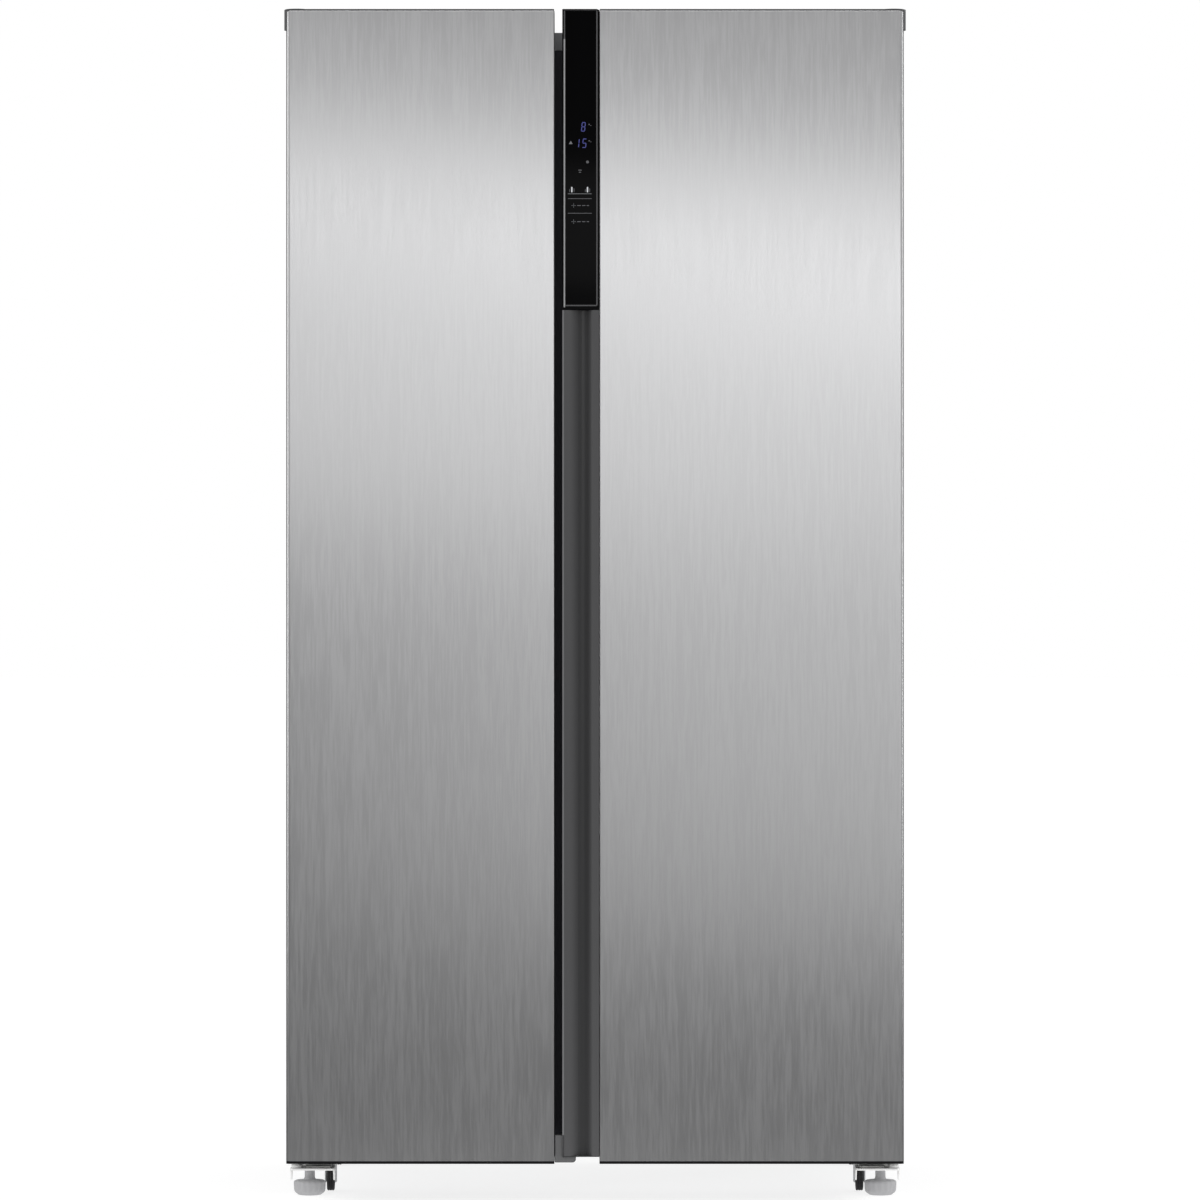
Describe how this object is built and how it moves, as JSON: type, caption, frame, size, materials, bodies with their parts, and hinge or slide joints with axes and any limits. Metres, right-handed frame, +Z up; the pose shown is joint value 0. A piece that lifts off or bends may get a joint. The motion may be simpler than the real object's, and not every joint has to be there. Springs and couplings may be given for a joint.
{
  "type": "side by side refrigerator",
  "caption": "Free-standing side by side refrigerator with hinged steel doors, a dark handle strip with a touch display, inner drawers, shelves and door bins, and a rear machine space.",
  "frame": {"origin": "centre of the footprint on the floor", "axes": "+Z up, the doors face -Y, +X to the right as seen from the front"},
  "size_m": [0.914, 0.65, 1.7495],
  "materials": {
    "brushed_steel": "vertical brushed grain",
    "painted_steel": "dark grey textured paint",
    "zinc_steel": "zinc plated",
    "galvanised_steel": "galvanised",
    "black_enamel": "black enamel",
    "copper": "dull copper",
    "aluminium": "plain",
    "white_plastic": "satin",
    "clear_plastic": "clear",
    "grey_plastic": "satin moulded",
    "silver_plastic": "satin",
    "foot_plastic": "moulded",
    "black_plastic": "moulded",
    "smoked_glass": "gloss",
    "shelf_glass": "clear",
    "lamp_plastic": "frosted",
    "foam": "foamed",
    "rubber": "soft",
    "circuit_board": "board"
  },
  "bodies": {
    "cabinet": {"cabinet_shell": "painted_steel", "front_frame": "painted_steel", "mullion_strip": "painted_steel", "back_panel": "galvanised_steel", "base_pan": "galvanised_steel", "freezer_foam": "foam", "fridge_foam": "foam", "freezer_liner": "white_plastic", "fridge_liner": "white_plastic", "hinge_covers": "grey_plastic", "top_hinges": "zinc_steel", "bottom_hinges": "zinc_steel", "hinge_screws": "zinc_steel", "roller_brackets": "galvanised_steel", "compressor": "black_enamel", "compressor_grommets": "rubber", "condenser_coil": "black_enamel", "condenser_fan_motor": "galvanised_steel", "drain_pan": "black_plastic", "refrigerant_pipes": "copper", "rear_cover": "galvanised_steel", "control_cover": "galvanised_steel", "control_board": "circuit_board", "evaporator": "aluminium", "evaporator_fan_motor": "galvanised_steel", "freezer_duct_cover": "white_plastic", "fridge_duct_cover": "white_plastic", "interior_lights": "lamp_plastic", "freezer_shelves": "shelf_glass", "fridge_shelves": "shelf_glass", "shelf_trims": "silver_plastic", "cord_gland": "black_plastic"},
    "freezer_door": {"freezer_door_skin": "brushed_steel", "freezer_door_foam": "foam", "freezer_door_liner": "white_plastic", "freezer_door_caps": "grey_plastic", "freezer_door_gasket": "rubber", "freezer_door_bins": "clear_plastic", "freezer_door_grip": "grey_plastic"},
    "fridge_door": {"fridge_door_skin": "brushed_steel", "fridge_door_foam": "foam", "fridge_door_liner": "white_plastic", "fridge_door_caps": "grey_plastic", "fridge_door_gasket": "rubber", "fridge_door_bins": "clear_plastic", "handle_strip": "grey_plastic", "display_housing": "black_plastic", "display_panel": "smoked_glass"},
    "freezer_drawer_lower": {"freezer_drawer_lower": "clear_plastic"},
    "freezer_drawer_upper": {"freezer_drawer_upper": "clear_plastic"},
    "crisper_drawer_lower": {"crisper_drawer_lower": "clear_plastic"},
    "crisper_drawer_upper": {"crisper_drawer_upper": "clear_plastic"},
    "condenser_fan": {"condenser_fan": "black_plastic"},
    "evaporator_fan": {"evaporator_fan": "black_plastic"},
    "front_roller_left": {"front_roller_left": "black_plastic"},
    "front_roller_right": {"front_roller_right": "black_plastic"},
    "rear_roller_left": {"rear_roller_left": "black_plastic"},
    "rear_roller_right": {"rear_roller_right": "black_plastic"},
    "levelling_foot_left": {"levelling_foot_left": "foot_plastic"},
    "levelling_foot_right": {"levelling_foot_right": "foot_plastic"}
  },
  "joints": [
    {"name": "freezer_door_hinge", "type": "hinge", "parent": "cabinet", "child": "freezer_door", "pos_m": [-0.4385, -0.287, 0.057], "axis": [0, 0, -1], "range_deg": [0, 115]},
    {"name": "fridge_door_hinge", "type": "hinge", "parent": "cabinet", "child": "fridge_door", "pos_m": [0.4385, -0.287, 0.057], "axis": [0, 0, 1], "range_deg": [0, 115]},
    {"name": "freezer_drawer_lower_slide", "type": "slide", "parent": "cabinet", "child": "freezer_drawer_lower", "axis": [0, -1, 0], "range_m": [0, 0.1114]},
    {"name": "freezer_drawer_upper_slide", "type": "slide", "parent": "cabinet", "child": "freezer_drawer_upper", "axis": [0, -1, 0], "range_m": [0, 0.1716]},
    {"name": "crisper_drawer_lower_slide", "type": "slide", "parent": "cabinet", "child": "crisper_drawer_lower", "axis": [0, -1, 0], "range_m": [0, 0.1114]},
    {"name": "crisper_drawer_upper_slide", "type": "slide", "parent": "cabinet", "child": "crisper_drawer_upper", "axis": [0, -1, 0], "range_m": [0, 0.1716]},
    {"name": "evaporator_fan_spin", "type": "hinge", "parent": "cabinet", "child": "evaporator_fan", "pos_m": [-0.24113, 0.2005, 1], "axis": [0, 1, 0], "continuous": true},
    {"name": "condenser_fan_spin", "type": "hinge", "parent": "cabinet", "child": "condenser_fan", "pos_m": [0.02, 0.23, 0.1575], "axis": [1, 0, 0], "continuous": true},
    {"name": "front_roller_left_spin", "type": "hinge", "parent": "cabinet", "child": "front_roller_left", "pos_m": [-0.39375, -0.164, 0.0215], "axis": [1, 0, 0], "continuous": true},
    {"name": "rear_roller_left_spin", "type": "hinge", "parent": "cabinet", "child": "rear_roller_left", "pos_m": [-0.401, 0.27, 0.02], "axis": [1, 0, 0], "continuous": true},
    {"name": "levelling_foot_left_turn", "type": "hinge", "parent": "cabinet", "child": "levelling_foot_left", "pos_m": [-0.423, -0.21325, 0], "axis": [0, 0, 1], "continuous": true},
    {"name": "front_roller_right_spin", "type": "hinge", "parent": "cabinet", "child": "front_roller_right", "pos_m": [0.39375, -0.164, 0.0215], "axis": [1, 0, 0], "continuous": true},
    {"name": "rear_roller_right_spin", "type": "hinge", "parent": "cabinet", "child": "rear_roller_right", "pos_m": [0.401, 0.27, 0.02], "axis": [1, 0, 0], "continuous": true},
    {"name": "levelling_foot_right_turn", "type": "hinge", "parent": "cabinet", "child": "levelling_foot_right", "pos_m": [0.423, -0.21325, 0], "axis": [0, 0, 1], "continuous": true}
  ],
  "couplings": [
    {"joint": "freezer_drawer_lower_slide", "follows": "freezer_door_hinge", "m_per_rad": 0.055},
    {"joint": "freezer_drawer_upper_slide", "follows": "freezer_door_hinge", "m_per_rad": 0.085},
    {"joint": "crisper_drawer_lower_slide", "follows": "fridge_door_hinge", "m_per_rad": 0.055},
    {"joint": "crisper_drawer_upper_slide", "follows": "fridge_door_hinge", "m_per_rad": 0.085}
  ]
}
